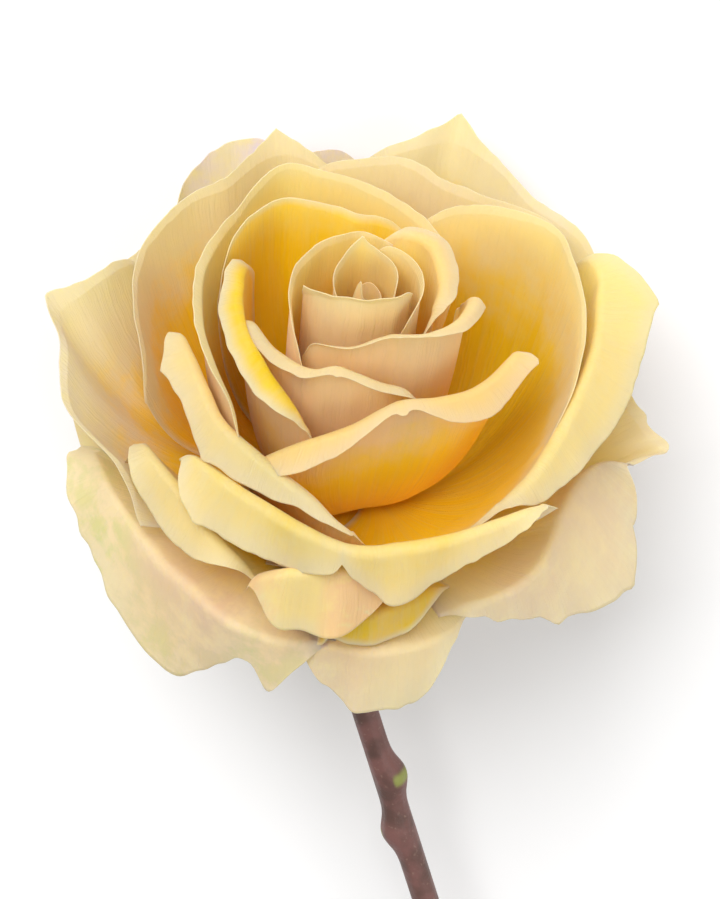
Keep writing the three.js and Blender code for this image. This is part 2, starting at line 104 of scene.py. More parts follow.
# How fine the round pieces are, with their flutes, grooves and teeth as shares of the radius or the width.
HIP_SIDES, HIP_ROWS, HIP_FLUTE = 72, 60, 0.02
CROWN_SIDES, CROWN_ROWS, CROWN_GROOVES, CROWN_GROOVE = 60, 40, 15, 0.06
SEPAL_COLUMNS, SEPAL_ROWS, SEPAL_TEETH, SEPAL_TOOTH = 28, 90, 30, 0.08
STEM_SIDES, STEM_ROWS = 48, 420
SCAR_LENGTH = 1.6
# Rings that close the cut end: share of the radius, then how far each is cut wood and pith.
CUT_RINGS, CUT_WOOD, CUT_PITH = (0.97, 0.8, 0.6, 0.4, 0.2), (0.4, 1, 1, 1, 1), (0, 0, 0.3, 1, 1)

# ---- the studio: lights are metres from the bloom toward the camera, up and right ----
VIEW_ANGLE, VIEW_ROLL, VIEW_DISTANCE = 45, 7, 700
VIEW_SHIFT = (3.88, 8.83)
FRAME_HEIGHT = 174.6
SENSOR = 24
FLOOR_SIZE = 6
WORLD_STRENGTH = 0.5
KEY_PLACE, KEY_SIZE, KEY_POWER = (1.3, 0.45, -0.3), 0.9, 17.5
FILL_PLACE, FILL_SIZE, FILL_POWER = (0.9, -0.5, 0.7), 0.8, 4

# ---- the petals, from the heart outward ------------------------------------
# Rim points: azimuth, radius and height of the lip's top, then the length and the turn of the lip.
PETALS = [
    [[-90, 3.4, 50, 2, 10], [-50, 3.3, 52, 2, 10], [-20, 3.2, 56.5, 2, 0], [10, 3.2, 52.5, 2, 10],
     [110, 3, 53, 2, 0], [170, 3, 53.5, 2, 0], [215, 3.1, 51, 2, 0]],
    [[48, 7, 55, 2, 30], [80, 6, 58, 2, 10], [150, 5.2, 59.5, 2, 0], [198, 5.2, 61.5, 2, 0],
     [240, 5.2, 59.5, 2, 10], [280, 6, 58, 2, 20], [330, 7.3, 55, 2, 30]],
    [[-95, 11, 50, 2, 10], [-64, 11.5, 57.5, 2, 30], [-20, 9, 59.5, 2, 25], [20, 8.8, 60, 2, 25],
     [60, 8.8, 59, 2, 20], [95, 8.8, 54, 2, 10]],
    [[175, 6.9, 57, 2, 0], [152, 7.2, 60, 2, 10], [122, 9.2, 59, 2, 10], [90, 10.7, 58, 2, 20],
     [60, 11.2, 56, 2, 20], [38, 12, 53, 2, 20]],
    [[-28, 18, 46, 2, 20], [-51, 16, 54, 2, 20], [-71, 14.5, 57, 2, 20], [-96, 12.5, 58.5, 2, 20],
     [-128, 10.5, 59.5, 2, 10], [-170, 9.5, 60, 2, 10], [-205, 10, 58, 2, 10]],
    [[172, 12.5, 55, 2, 20], [157, 14, 58.5, 4, 80], [135, 15.5, 59, 6, 120], [113, 15, 58, 6, 120],
     [90, 14.8, 56, 4, 110], [67, 13.7, 52, 2, 40], [46, 13.2, 44, 2, 10]],
    [[-45, 14, 45, 2, 20], [-32, 14.3, 51, 2, 40], [-2, 14.3, 53, 3, 60], [17, 13.9, 55, 3, 60],
     [30, 14.3, 56, 3, 60], [53, 17, 55, 3, 90], [74, 19, 54.5, 4, 130], [95, 20.5, 54, 4, 150],
     [112, 19, 46, 2, 30]],
    [[-82, 22, 42, 2, 20], [-70, 21.7, 50, 3, 100], [-45, 20.2, 49, 4, 110], [-24, 19.6, 49.5, 4, 110],
     [-9, 18.8, 51.5, 4, 110], [10, 19, 49.5, 4, 110], [30, 20.2, 46.5, 4, 100], [50, 20.8, 37, 2, 20]],
    [[-45, 28.5, 23, 2, 30], [-30, 29, 33, 6, 110], [-17, 27, 38.5, 8, 130], [1, 24.5, 42.5, 6, 130],
     [23, 23, 47, 3, 100], [43, 24, 46, 7, 130], [60, 26, 45, 8, 130], [78, 28, 44.5, 6, 120],
     [87, 30, 45, 3, 90], [98, 29, 36, 2, 30]],
    [[-116, 23.5, 46, 2, 10], [-104, 23.7, 52, 3, 40], [-86, 23.5, 52.5, 5, 100],
     [-56, 24, 50.5, 6, 110], [-37, 24, 46.5, 6, 110], [-21, 24.3, 41, 4, 80], [-12, 24.3, 34, 2, 20]],
    [[-94, 27, 45, 2, 0], [-106, 26.8, 54, 2, 0], [-135, 26, 57, 2, 0], [-148, 22.5, 57.5, 2, 10],
     [-170, 19, 56, 2, 20], [-190, 20.5, 54, 2, 20], [-207, 21.5, 47, 2, 20]],
    [[-36, 31, 33, 2, 20], [-44, 31, 42, 2, 30], [-59, 30.7, 47, 3, 40], [-88, 30.7, 51, 3, 40],
     [-123, 31.2, 54, 2, 20], [-147, 34.2, 57, 2, 10], [-163, 32.2, 55, 2, 20],
     [-190, 27.7, 53, 2, 20], [-210, 25.7, 50, 2, 20], [-222, 25.7, 43, 2, 10]],
    [[168, 27, 43, 2, 10], [158, 30, 50, 2, 20], [147, 36.5, 51.5, 2, 20], [129, 43.5, 51.5, 2, 20],
     [116, 43, 50.5, 2, 20], [102, 42.5, 47, 2, 20], [88, 41.5, 42, 2, 10], [72, 39.6, 34.5, 2, 0],
     [55, 38, 26, 2, 0], [30, 36, 19, 2, 0], [8, 33, 14, 2, 0], [-12, 31.5, 11, 2, 0],
     [-30, 31, 7, 2, 0]],
    [[-87, 34.5, 36, 2, 30], [-79, 34, 44, 4, 80], [-70, 32.5, 43, 6, 110], [-58, 32, 41, 7, 125],
     [-47, 32, 38, 8, 130], [-30, 31, 35, 8, 130], [-11, 32.5, 32, 5, 120], [3, 37, 29, 3, 80],
     [10, 35.5, 23, 2, 30]],
    [[128, 48.5, 39, 2, 20], [122, 50, 46, 3, 40], [115, 49.5, 46, 7, 75], [109, 47.5, 44.5, 11, 92],
     [93, 44, 41.5, 12, 110], [82, 42, 38.5, 12, 120], [71, 41, 35.5, 10, 120], [58, 40.5, 32, 7, 115],
     [48, 40, 29.5, 3, 60], [38, 39.5, 26, 2, 20], [28, 38, 19, 2, 20]],
    [[-53, 37.5, 24, 2, 30], [-49, 38, 31, 4, 90], [-40, 37, 31.5, 10, 120],
     [-22, 37, 30.5, 11.5, 135], [-9, 38.5, 29.5, 11, 140], [3, 40.5, 28.5, 8, 140],
     [11, 41, 28.5, 11, 145], [17, 41, 29, 14, 145], [30, 42, 30, 9, 140], [43, 43.5, 31, 6.5, 125],
     [53, 46, 31.5, 3, 80], [63, 45.5, 25, 2, 20]],
    [[204, 38, 42, 2, 10], [197, 39, 50, 2, 20], [186, 40, 51.5, 2, 20], [173, 42, 51.5, 2, 20],
     [162, 40.5, 50, 2, 20], [149, 41.5, 49.5, 2, 20], [133, 47, 47.5, 2, 20], [125, 47.5, 40, 2, 10]],
    [[-76, 39.5, 28, 2, 20], [-84, 40.5, 37, 2, 20], [-104, 44.7, 43.5, 2, 20],
     [-128, 45.7, 46.5, 2, 20], [-140, 45, 47, 2, 20], [-156, 49.5, 47.5, 2, 20],
     [-166, 45.5, 46, 2, 20], [-176, 45, 38, 2, 10]],
    [[192, 45, 36, 2, 20], [184, 48, 44, 2, 20], [173, 52.5, 47.5, 2, 20], [166, 57, 47.5, 2, 10],
     [157, 55.5, 47, 2, 20], [144, 51.5, 45.5, 2, 20], [130, 53, 44, 2, 20], [120, 54, 35, 2, 10]],
    [[-53, 45, 13, 2, 20], [-62, 47, 23, 2, 20], [-72, 54.5, 31, 2, 20], [-84, 55, 35.5, 2, 20],
     [-92, 57, 38.5, 2, 10], [-98, 53, 40.5, 2, 20], [-110, 49.5, 39, 2, 20], [-120, 49, 31, 2, 10]],
    [[-70, 43.5, 17, 2, 20], [-65, 42, 25, 4, 60], [-55, 41, 26, 8, 110], [-44, 40, 24, 10, 120],
     [-36, 40.5, 21, 8, 120], [-26, 40, 17, 4, 70], [-16, 39.5, 11, 2, 30]],
    [[-20, 43, 14, 2, 30], [-18, 43, 18, 7, 100], [-12, 42.5, 21, 13, 125], [-5, 41, 22, 15, 130],
     [4, 39.5, 22, 15, 130], [11, 39, 21, 12, 125], [18, 38.5, 18, 6, 110], [23, 38, 14, 2, 30]],
    [[123, 55, 24, 2, 10], [108, 54, 23, 2, 20], [97, 58, 21, 2, 20], [94, 61.5, 19, 2, 20],
     [91, 56.5, 18.5, 2, 30], [89, 51, 19, 4, 60], [87, 47.5, 18.5, 14, 90], [82, 45, 17.5, 20, 95],
     [75, 44, 15.5, 22, 95], [68, 44, 12.5, 19, 95], [60, 44.5, 10.5, 13, 95], [50, 43.5, 9, 8, 95],
     [42, 40, 6, 5, 80], [34, 37, 3, 3, 40]],
    [[-1, 40.5, 1, 2, 30], [2, 40, 5, 4, 80], [9, 39, 8.5, 8, 110], [19, 38, 10, 9, 110],
     [30, 36.5, 10, 6, 100], [40, 35, 7, 2, 30]],
    [[-126, 47, 26, 2, 0], [-132, 52, 35, 2, 0], [-140, 58, 38, 2, 0], [-150, 60, 40.5, 2, 0],
     [-158, 56, 42, 2, 0], [-170, 52, 32, 2, 0]],
    [[212, 47, 26, 2, 0], [200, 51.5, 40, 2, 0], [190, 52.5, 43, 2, 0], [181, 54, 35, 2, 0],
     [172, 54, 25, 2, 0]],
    [[166, 56, 18.5, 2, 0], [150, 64, 20.5, 2, 0], [132, 61.5, 26, 2, 0], [116, 59, 20, 2, 0],
     [104, 56, 12, 2, 0]],
    [[-84, 50, 8, 2, 0], [-96, 55, 18, 2, 0], [-115, 57, 23, 2, 0], [-135, 59, 23, 2, 0],
     [-152, 60.5, 21, 2, 0], [-166, 56, 14, 2, 0]],
    [[-88, 49, 6, 2, 10], [-78, 48.5, 13, 6, 40], [-68, 46, 11, 10, 80], [-57, 43.5, 8.5, 15, 92],
     [-47, 42, 6, 22, 95], [-39, 40.5, 4, 25, 95], [-32, 40, 2, 19, 92], [-25, 40, 0.5, 12, 88],
     [-19, 40, -1, 9, 85], [-12, 40, -2, 14, 85], [-5, 39.5, -4, 9, 75], [4, 38, -6, 2, 30]],
    [[-14, 36, -5, 2, 20], [-4, 38, -4, 7, 70], [4, 39, -4, 12, 80], [11, 40, -4, 15, 85],
     [20, 40, -4, 16, 85], [29, 40, -4, 13, 80], [37, 39.5, -3, 5, 60], [43, 38, -2, 2, 20]],
]

# ---- small helpers ----------------------------------------------------------


def mix(a, b, t):
    return a + (b - a) * t


def smooth(t):
    """0 to 1 with level ends: 3t^2 - 2t^3."""
    t = np.clip(t, 0, 1)
    return t * t * (3 - 2 * t)


def along_rim(rim, u):
    """Catmull-Rom through the rim points at places u from 0 to 1, all five numbers at once."""
    p = np.array(rim, float)
    p = np.vstack([2 * p[0] - p[1], p, 2 * p[-1] - p[-2]])
    place = np.clip(u, 0, 1) * (len(rim) - 1)
    i = np.minimum(place.astype(int), len(rim) - 2)
    t = (place - i)[:, None]
    a, b, c, d = p[i], p[i + 1], p[i + 2], p[i + 3]
    bend, twist = 2 * a - 5 * b + 4 * c - d, 3 * b - a - 3 * c + d
    return 0.5 * (2 * b + (c - a) * t + bend * t ** 2 + twist * t ** 3)


def waves(x, count, seed):
    """A smooth random line over x from 0 to 1: a sum of count sines whose strength fades as k^-0.7."""
    r = np.random.default_rng(seed)
    total = np.zeros_like(x)
    for k in range(1, count + 1):
        strength = r.normal() / k ** 0.7
        total = total + strength * np.sin(2 * np.pi * (k * x * r.uniform(0.7, 1.3) + r.uniform()))
    return total / 2


def cup_rib(seat, radius, height, fullness, cup_height):
    """A superellipse from the seat: radius grows as sin^(2/n), height as 1 - cos^(2/n), up to the crest."""
    rise = np.clip((height - seat[1]) / (cup_height - seat[1]), 0.001, 0.98)
    end = np.arccos((1 - rise) ** (fullness / 2))
    width = (radius - seat[0]) / np.sin(end) ** (2 / fullness)

    def at(t):
        turn = end * t ** (fullness / 2)
        return (seat[0] + width * np.sin(turn) ** (2 / fullness),
                seat[1] + (cup_height - seat[1]) * (1 - np.cos(turn) ** (2 / fullness)))
    return at


def lip_turn(lip, roll):
    """The fold's length and its bend per millimetre."""
    turn = np.radians(np.maximum(roll, 1))
    fold = np.minimum(lip * 0.7, np.maximum(turn * FOLD_RADIUS, 0.5))
    return turn, fold


def lip_point(heading, lip, roll, run):
    """Past the crest: round the fold's arc first, then straight on along the last heading."""
    turn, fold = lip_turn(lip, roll)
    bend = turn / fold
    arc = np.minimum(run, fold)
    end = heading - bend * arc
    return ((np.sin(heading) - np.sin(end)) / bend + np.cos(end) * (run - arc),
            (np.cos(end) - np.cos(heading)) / bend + np.sin(end) * (run - arc))


def even_places(rim):
    """Places along the rim that are evenly spaced in millimetres, and the crest's length."""
    fine = np.linspace(0, 1, 600)
    azimuth, radius, height = along_rim(rim, fine).T[:3]
    a = np.radians(azimuth)
    line = np.stack([radius * np.cos(a), radius * np.sin(a), height], -1)
    run = np.concatenate([[0], np.cumsum(np.linalg.norm(np.diff(line, axis=0), axis=1))])
    count = int(np.clip(run[-1] * COLUMNS_PER_MM, FEWEST_COLUMNS, MOST_COLUMNS))
    return np.interp(np.linspace(0, run[-1], count), run, fine), run[-1]


def petal_sheet(rim, layer, tips, number, ragged):
    """The petal's middle sheet as (columns, rows, 3), with its reach from claw (0) to margin (1).

    Each column is a rib: a superellipse from the seat on the hip up to the crest, then the lip, which is an
    arc of the fold's radius and a straight run. The rim point gives the top of the rolled lip, so the body's
    crest is found by taking the lip's rise and reach off it, three times over. A rib's azimuth runs from its
    place on the narrow claw to its place on the rim as 1 - (1 - t)^2.
    """
    forward = rim[-1][0] > rim[0][0]
    u, crest = even_places(rim)
    u = u if forward else u[::-1]
    place = np.linspace(0, 1, len(u))
    azimuth, radius, height, lip, roll = along_rim(rim, u).T
    ends = np.minimum(place, 1 - place) * crest
    for where, extra, width in tips:
        lip = lip + extra * np.exp(-np.abs(azimuth - where) / width)
    fringe = waves(place, int(crest / RAGGED_SPACING), SEEDS["ragged"] + number)
    lip = lip + ragged * fringe * smooth(ends / RAGGED_FADE)
    lip = np.maximum(lip * mix(LIP_AT_ENDS, 1, smooth(ends / LIP_TAPER)), LEAST_LIP)
    roll = roll * (1 + ROLL_SWING * waves(place, int(crest / ROLL_SPACING) + 2, SEEDS["roll"] + number))
    seat = (mix(CLAW_RADIUS_INNER, CLAW_RADIUS_OUTER, layer),
            mix(CLAW_HEIGHT_INNER, CLAW_HEIGHT_OUTER, layer))
    fullness = mix(CUP_FULLNESS_INNER, CUP_FULLNESS_OUTER, layer)
    cup_height = mix(CUP_HEIGHT_INNER, CUP_HEIGHT_OUTER, layer)
    rib = cup_rib(seat, radius, height, fullness, cup_height)
    turn, fold = lip_turn(lip, roll)
    for _ in range(3):
        before, after = rib(0.97), rib(1.0)
        heading = np.arctan2(after[1] - before[1], after[0] - before[0])
        rest = np.minimum(lip, np.maximum(fold, LIP_REST))
        top = lip_point(heading, lip, roll, np.where(heading < turn, fold * heading / turn, rest))
        rib = cup_rib(seat, radius - top[0], height - top[1], fullness, cup_height)
    body = np.linspace(0, 1, BODY_ROWS)
    run = np.linspace(0, 1, LIP_ROWS + 1)[1:]
    body_points = [rib(t) for t in body]
    r = np.array([p[0] for p in body_points])
    h = np.array([p[1] for p in body_points])
    past = [lip_point(heading, lip, roll, t * lip) for t in run]
    r = np.vstack([r, r[-1] + np.array([p[0] for p in past])]).T
    h = np.vstack([h, h[-1] + np.array([p[1] for p in past])]).T
    middle = (rim[0][0] + rim[-1][0]) / 2
    side = 1 if forward else -1
    seat_azimuth = middle + side * (u - 0.5) * CLAW_SPAN
    spread = np.concatenate([1 - (1 - body) ** 2, np.ones(LIP_ROWS)])
    a = np.radians(mix(seat_azimuth[:, None], azimuth[:, None], spread[None, :]))
    sheet = np.stack([r * np.cos(a), r * np.sin(a), h], -1)
    steps = np.linalg.norm(np.diff(sheet, axis=1), axis=2)
    length = np.concatenate([np.zeros((len(u), 1)), np.cumsum(steps, 1)], 1)
    reach = length / length[:, -1:]
    return sheet, reach, length, place, ends, crest


def normals_of(sheet):
    """Unit normals of a grid of points, by the cross product of its two directions."""
    across = np.gradient(sheet, axis=0)
    along = np.gradient(sheet, axis=1)
    n = np.cross(across, along)
    return n / np.maximum(np.linalg.norm(n, axis=2, keepdims=True), 1e-9)


def mesh_from_loops(name, points, loops, totals):
    """A smooth mesh from points in the bloom's frame and the corners of its faces."""
    mesh = bpy.data.meshes.new(name)
    mesh.vertices.add(len(points))
    mesh.vertices.foreach_set("co", to_world(points).astype(np.float32).ravel())
    mesh.loops.add(len(loops))
    mesh.loops.foreach_set("vertex_index", loops.astype(np.int32))
    mesh.polygons.add(len(totals))
    mesh.polygons.foreach_set("loop_start", (np.cumsum(totals) - totals).astype(np.int32))
    mesh.polygons.foreach_set("loop_total", totals.astype(np.int32))
    mesh.update(calc_edges=True)
    mesh.polygons.foreach_set("use_smooth", np.ones(len(totals), bool))
    return mesh


def add_masks(mesh, masks):
    """Puts each named array on the mesh as an attribute that its material reads."""
    for key, values in masks.items():
        mesh.attributes.new(key, "FLOAT", "POINT").data.foreach_set("value", values.astype(np.float32))


def shell_mesh(name, sheet, thickness, masks, uv):
    """Closes a sheet into a thin shell: each side is the sheet plus or minus its normal times half the
    thickness, and a band of quads joins the two round the edge. masks are named arrays on the sheet's grid,
    and outer_face is added to them, as 1 on the side that faces outward."""
    wide, rows = sheet.shape[:2]
    n = normals_of(sheet)
    half = thickness[..., None] / 2
    points = np.concatenate([(sheet - n * half).reshape(-1, 3), (sheet + n * half).reshape(-1, 3)])
    size = wide * rows
    grid = np.arange(size).reshape(wide, rows)
    a, b, c, d = grid[:-1, :-1], grid[1:, :-1], grid[1:, 1:], grid[:-1, 1:]
    inner = np.stack([a, d, c, b], -1).reshape(-1, 4)
    outer = np.stack([a, b, c, d], -1).reshape(-1, 4) + size
    ring = np.concatenate([grid[:, 0], grid[-1, 1:], grid[-2::-1, -1], grid[0, -2:0:-1]])
    following = np.roll(ring, -1)
    edge = np.stack([ring, following, following + size, ring + size], -1)
    loops = np.concatenate([inner, outer, edge]).ravel()
    mesh = mesh_from_loops(name, points, loops, np.full(len(loops) // 4, 4))
    both_faces = {key: np.tile(values.ravel(), 2) for key, values in masks.items()}
    both_faces["outer_face"] = np.repeat([0.0, 1.0], size)
    add_masks(mesh, both_faces)
    corners = np.tile(uv.reshape(-1, 2), (2, 1))[loops]
    mesh.uv_layers.new(name="petal").data.foreach_set("uv", corners.astype(np.float32).ravel())
    return mesh


def finish_piece(name, mesh, material, node):
    """Links a finished mesh as a piece of the rose that stands for its node."""
    piece = bpy.data.objects.new(name, mesh)
    bpy.context.scene.collection.objects.link(piece)
    mesh.materials.append(material)
    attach(piece, "root")
    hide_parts(node)
    return piece


# ---- where the bloom sits ---------------------------------------------------
tilt = math.radians(BLOOM_TILT)
BLOOM_AXES = np.array([
    [0, -math.sin(tilt), math.cos(tilt)],
    [1, 0, 0],
    [0, math.cos(tilt), math.sin(tilt)],
])


def hip_profile():
    """Radius and height of the hip from the neck up over its rim to the crown's seat."""
    slope = (CLAW_HEIGHT_INNER - CLAW_HEIGHT_OUTER) / (CLAW_RADIUS_OUTER - CLAW_RADIUS_INNER)

    def top(r):
        return CLAW_HEIGHT_INNER - slope * (r - CLAW_RADIUS_INNER) - HIP_CLEARANCE * math.hypot(1, slope)
    return np.array([
        [NECK_RADIUS, -HIP_LENGTH],
        [mix(NECK_RADIUS, HIP_BELLY, 0.55), -HIP_LENGTH * 0.8],
        [HIP_BELLY, -HIP_LENGTH * 0.45],
        [mix(HIP_BELLY, HIP_RADIUS, 0.7), -HIP_LENGTH * 0.2],
        [HIP_RADIUS, top(HIP_RADIUS) - 0.9],
        [HIP_RADIUS - 0.4, top(HIP_RADIUS - 0.4)],
        [CROWN_RADIUS, top(CROWN_RADIUS)],
    ])


def round_points(profile, sides):
    """Rings of points round the bloom's axis, one for each (radius, height)."""
    a = np.linspace(0, 2 * np.pi, sides, endpoint=False)
    r, h = profile[:, :1], profile[:, 1:]
    return np.stack([r * np.cos(a), r * np.sin(a), h + 0 * a], -1)


def bloom_origin():
    """The frame's hip is a full round, so the middle of its box gives the bloom's origin."""
    points = round_points(hip_profile(), 28).reshape(-1, 3) @ BLOOM_AXES * MM
    low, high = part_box("hip")
    return (np.array(low) + np.array(high)) / 2 - (points.min(0) + points.max(0)) / 2


ORIGIN = bloom_origin()


def to_world(points):
    """Bloom millimetres to world metres."""
    return points @ BLOOM_AXES * MM + ORIGIN


# ---- material helpers -------------------------------------------------------


def colour(code):
    """A hex sRGB colour as linear RGBA."""
    parts = [int(code[i:i + 2], 16) / 255 for i in (1, 3, 5)]
    return (*[c / 12.92 if c <= 0.04045 else ((c + 0.055) / 1.055) ** 2.4 for c in parts], 1)


class Shading:
    """A node tree with short ways to add the nodes that the materials below use."""

    def __init__(self, tree):
        self.tree = tree

    def add(self, kind, **settings):
        node = self.tree.nodes.new("ShaderNode" + kind)
        for key, value in settings.items():
            setattr(node, key, value)
        return node

    def put(self, socket, value):
        if isinstance(value, bpy.types.NodeSocket):
            self.tree.links.new(value, socket)
        else:
            socket.default_value = value

    def attribute(self, name):
        return self.add("Attribute", attribute_name=name).outputs["Fac"]

    def math(self, operation, a, b=0.0):
        node = self.add("Math", operation=operation)
        self.put(node.inputs[0], a)
        self.put(node.inputs[1], b)
        return node.outputs[0]

    def ramp(self, value, low, high, start=0.0, end=1.0):
        """value from low..high to start..end, with level ends."""
        node = self.add("MapRange", interpolation_type="SMOOTHSTEP")
        for socket, v in zip(node.inputs, (value, low, high, start, end)):
            self.put(socket, v)
        return node.outputs["Result"]

    def blend(self, amount, a, b, kind="MIX"):
        node = self.add("Mix", data_type="RGBA", blend_type=kind)
        self.put(node.inputs["Factor"], amount)
        self.put(node.inputs[6], a)
        self.put(node.inputs[7], b)
        return node.outputs[2]

    def noise(self, vector, scale, detail=3.0, roughness=0.55):
        node = self.add("TexNoise")
        self.put(node.inputs["Vector"], vector)
        node.inputs["Scale"].default_value = scale
        node.inputs["Detail"].default_value = detail
        node.inputs["Roughness"].default_value = roughness
        return node.outputs["Fac"]

    def stretched(self, vector, scale):
        node = self.add("Mapping")
        self.put(node.inputs["Vector"], vector)
        node.inputs["Scale"].default_value = scale
        return node.outputs["Vector"]


def new_group(name, inputs, outputs):
    """A node group with named sockets; each is (name, kind, default)."""
    tree = bpy.data.node_groups.new(name, "ShaderNodeTree")
    for label, kind, default in inputs:
        socket = tree.interface.new_socket(label, in_out="INPUT", socket_type="NodeSocket" + kind)
        if default is not None:
            socket.default_value = default
    for label, kind in outputs:
        tree.interface.new_socket(label, in_out="OUTPUT", socket_type="NodeSocket" + kind)
    shading = Shading(tree)
    start = shading.tree.nodes.new("NodeGroupInput")
    end = shading.tree.nodes.new("NodeGroupOutput")
    return shading, start.outputs, end.inputs


def use_group(shading, tree, values):
    node = shading.add("Group", node_tree=tree)
    for key, value in values.items():
        shading.put(node.inputs[key], value)
    return node.outputs


def new_material(name):
    material = bpy.data.materials.new(name)
    material.use_nodes = True
    tree = material.node_tree
    return material, Shading(tree), tree.nodes["Principled BSDF"]


def add_bump(s, shader, height, strength, distance):
    """Fine relief on the shader's normal; distance is in metres."""
    bump = s.add("Bump")
    bump.inputs["Strength"].default_value = strength
    bump.inputs["Distance"].default_value = distance
    s.put(bump.inputs["Height"], height)
    s.put(shader.inputs["Normal"], bump.outputs["Normal"])


# ---- petals: colour ---------------------------------------------------------


def petal_streak_group():
    """Fine veins that run from claw to margin, on the petal's own UV map (1 unit is 100 mm)."""
    outputs = [("Veins", "Float"), ("Fibre", "Float"), ("Blotch", "Float")]
    s, _, made = new_group("petal_streaks", [], outputs)
    uv = s.add("UVMap", uv_map="petal").outputs["UV"]
    wander = s.noise(uv, 18, 2)
    bent = s.add("VectorMath", operation="MULTIPLY_ADD")
    s.put(bent.inputs[0], wander)
    bent.inputs[1].default_value = (0.012, 0, 0)
    s.put(bent.inputs[2], uv)
    lines = s.noise(s.stretched(bent.outputs[0], (90, 3.2, 1)), 1, 4, 0.6)
    fibre = s.noise(s.stretched(bent.outputs[0], (420, 26, 1)), 1, 3, 0.6)
    s.put(made["Veins"], s.ramp(lines, 0.42, 0.66))
    s.put(made["Fibre"], fibre)
    s.put(made["Blotch"], s.noise(uv, 14, 4, 0.6))
    return s.tree


def petal_colour_group(streaks):
    """The petal's colour from claw to margin on both faces, with veins, blushes and stains."""
    colours = ["Deep", "Face", "Margin", "Back Deep", "Back", "Back Margin", "Pink", "Green"]
    inputs = [(c, "Color", (1, 1, 1, 1)) for c in colours]
    s, given, made = new_group("petal_colour", inputs, [("Colour", "Color"), ("Height", "Float")])
    marks = use_group(s, streaks, {})
    reach, edge = s.attribute("reach"), s.attribute("edge")
    grown = s.math("ADD", reach, s.math("MULTIPLY", s.math("SUBTRACT", marks["Blotch"], 0.5), 0.35))
    rise = s.ramp(grown, s.attribute("deep_start"), s.attribute("deep_end"))
    rim = s.ramp(edge, 0.0, 1.0, 1.0, 0.0)
    face = s.blend(rise, given["Deep"], given["Face"])
    face = s.blend(rim, face, given["Margin"])
    back_rise = s.ramp(grown, s.attribute("back_start"), s.attribute("back_end"))
    back = s.blend(back_rise, given["Back Deep"], given["Back"])
    back = s.blend(s.math("MULTIPLY", rim, 0.85), back, given["Back Margin"])
    base = s.blend(s.attribute("outer_face"), face, back)
    veined = s.blend(s.math("MULTIPLY", marks["Veins"], s.attribute("veins")), base, given["Back Margin"])
    pink = s.math("MULTIPLY", s.attribute("pink"), s.ramp(marks["Blotch"], 0.3, 0.62))
    blushed = s.blend(pink, veined, given["Pink"])
    green = s.math("MULTIPLY", s.attribute("green"), s.ramp(marks["Blotch"], 0.42, 0.62))
    s.put(made["Colour"], s.blend(green, blushed, given["Green"]))
    relief = s.math("ADD", s.math("MULTIPLY", marks["Veins"], 0.5), s.math("MULTIPLY", marks["Fibre"], 0.5))
    s.put(made["Height"], relief)
    return s.tree


def petal_material(name, colours, group):
    """Matt, slightly velvety tissue that lets light through."""
    material, s, shader = new_material(name)
    out = use_group(s, group, {key: colour(code) for key, code in colours.items()})
    s.put(shader.inputs["Base Color"], out["Colour"])
    add_bump(s, shader, out["Height"], 0.5, 0.00025)
    shader.inputs["Roughness"].default_value = 0.6
    shader.inputs["Specular IOR Level"].default_value = 0.3
    shader.inputs["Sheen Weight"].default_value = 0.12
    shader.inputs["Sheen Roughness"].default_value = 0.4
    shader.inputs["Subsurface Weight"].default_value = 0.6
    shader.inputs["Subsurface Scale"].default_value = 0.002
    shader.inputs["Subsurface Radius"].default_value = (1.0, 0.75, 0.3)
    return material


HEART_COLOURS = {
    "Deep": "#ffae00", "Face": "#f4c878", "Margin": "#e3c590",
    "Back Deep": "#ffc800", "Back": "#fccb92", "Back Margin": "#e6c898",
    "Pink": "#f4b890", "Green": "#d9cf8e",
}
MIDDLE_COLOURS = {
    "Deep": "#ffc200", "Face": "#f6d084", "Margin": "#e8cd96",
    "Back Deep": "#ffbc00", "Back": "#f6c890", "Back Margin": "#e6ce9c",
    "Pink": "#f2ba84", "Green": "#d8cc6a",
}
BACK_COLOURS = {
    "Deep": "#ffbe14", "Face": "#e8cca0", "Margin": "#e2ca9e",
    "Back Deep": "#f0bc50", "Back": "#e4c8a0", "Back Margin": "#e2ca9e",
    "Pink": "#d6becb", "Green": "#c8c89a",
}
OUTER_COLOURS = {
    "Deep": "#e2b45c", "Face": "#e6c59c", "Margin": "#dcc4a0",
    "Back Deep": "#d6b86c", "Back": "#dcbf9c", "Back Margin": "#dcc8a6",
    "Pink": "#d2aa9a", "Green": "#adb86e",
}

